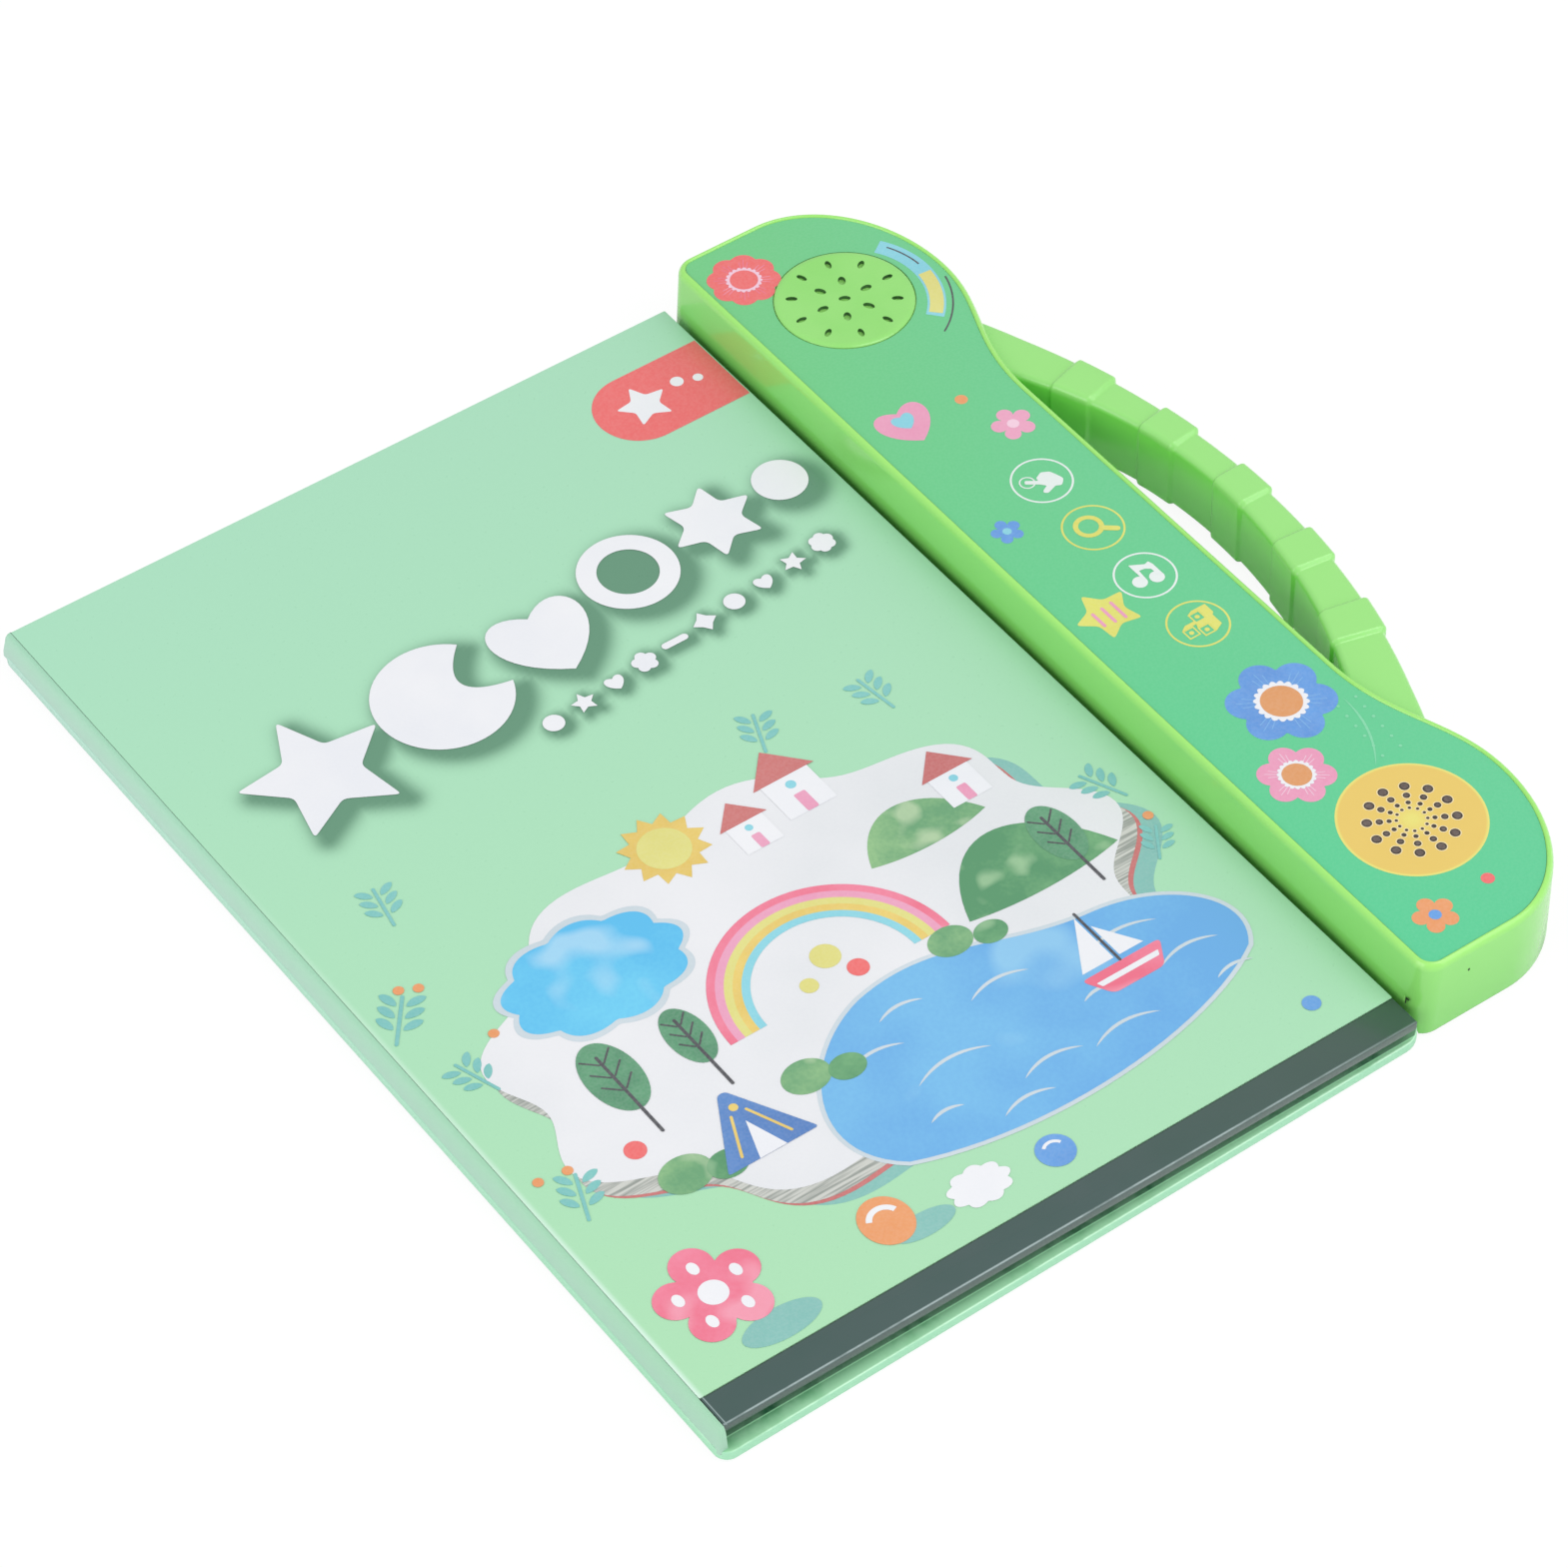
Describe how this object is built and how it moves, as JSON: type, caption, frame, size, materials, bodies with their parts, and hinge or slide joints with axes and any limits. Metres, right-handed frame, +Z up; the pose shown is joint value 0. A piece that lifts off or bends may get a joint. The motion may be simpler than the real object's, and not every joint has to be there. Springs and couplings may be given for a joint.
{
  "type": "toy sound book",
  "caption": "A toy sound book: a hard-backed children's book held along its right edge in a bright green plastic sound housing with speaker grille, touch icons and an arched ribbed handle.",
  "frame": {"origin": "centre of the outline in plan, on the table the book lies on", "axes": "+X from the spine to the handle, +Y from the bottom edge of the cover to its top edge, +Z up out of the front cover"},
  "size_m": [0.262, 0.293, 0.0221],
  "materials": {
    "battery_wrap": "shrink sleeve over steel can",
    "black_plastic": "moulded, matt",
    "blue_ink": "printed blue",
    "board_green": "glass-fibre board with solder mask",
    "brown_ink": "printed brown",
    "cone_paper": "pressed paper cone",
    "dark_band": "printed gloss-laminated board, dark strip",
    "film": "thin plastic film with printed tracks",
    "green_plastic": "moulded, glossy",
    "mint_edge": "printed wrap over board",
    "mint_print": "printed gloss-laminated board, soft sheen",
    "orange_ink": "printed orange",
    "overlay_green": "printed self-adhesive film",
    "paper_edge": "cut card edges",
    "pink_ink": "printed pink",
    "red_ink": "printed red",
    "sky_ink": "printed sky blue",
    "steel": "plain steel",
    "teal_ink": "printed teal",
    "white_ink": "printed white",
    "yellow_ink": "printed yellow"
  },
  "bodies": {
    "back_and_housing": {"back_cover": "mint_edge", "spine_wall": "mint_edge", "touch_film": "film", "page_block": "paper_edge", "housing_shell": "green_plastic", "handle": "green_plastic", "base_plate": "green_plastic", "battery_door": "green_plastic", "overlay_label": "overlay_green", "print_dot_ground": "brown_ink", "print_dot_disc": "yellow_ink", "icon_ring_1": "white_ink", "icon_ring_3": "white_ink", "icon_ring_2": "yellow_ink", "icon_ring_4": "yellow_ink", "print_flower_blue": "blue_ink", "print_flower_pink": "pink_ink", "print_heart_pink": "pink_ink", "print_flower_orange": "orange_ink", "print_flower_red": "red_ink", "print_star_yellow": "yellow_ink", "print_crescent_blue": "sky_ink", "screw_1": "steel", "screw_2": "steel", "screw_3": "steel", "screw_4": "steel", "door_screw": "steel", "contact_plate_1": "steel", "contact_plate_2": "steel", "speaker_basket": "steel", "speaker_magnet": "steel", "touch_spring_1": "steel", "touch_spring_2": "steel", "touch_spring_3": "steel", "touch_spring_4": "steel", "battery_tray": "black_plastic", "sound_chip": "black_plastic", "switch_body": "black_plastic", "battery_1": "battery_wrap", "battery_2": "battery_wrap", "circuit_board": "board_green", "speaker_cone": "cone_paper"},
    "front_cover_board": {"front_cover": "mint_print", "cover_band": "dark_band", "print_tag": "red_ink", "print_field": "white_ink", "print_lake": "blue_ink", "print_sky": "sky_ink", "print_hill_near": "teal_ink", "print_hill_far": "green_plastic", "print_sun": "yellow_ink", "print_blossom": "pink_ink", "print_rainbow": "pink_ink", "print_mark_1": "white_ink", "print_mark_2": "white_ink", "print_mark_3": "white_ink", "print_mark_4": "white_ink", "print_mark_5": "white_ink", "print_mark_6": "white_ink"},
    "volume_switch": {"switch_knob": "black_plastic"}
  },
  "joints": [
    {"name": "front_cover_hinge", "type": "hinge", "parent": "back_and_housing", "child": "front_cover_board", "pos_m": [-0.12875, 0, 0.009], "axis": [0, -1, 0], "range_deg": [0, 175]},
    {"name": "volume_switch_slide", "type": "slide", "parent": "back_and_housing", "child": "volume_switch", "axis": [0, 1, 0], "range_m": [0, 0.004]}
  ]
}
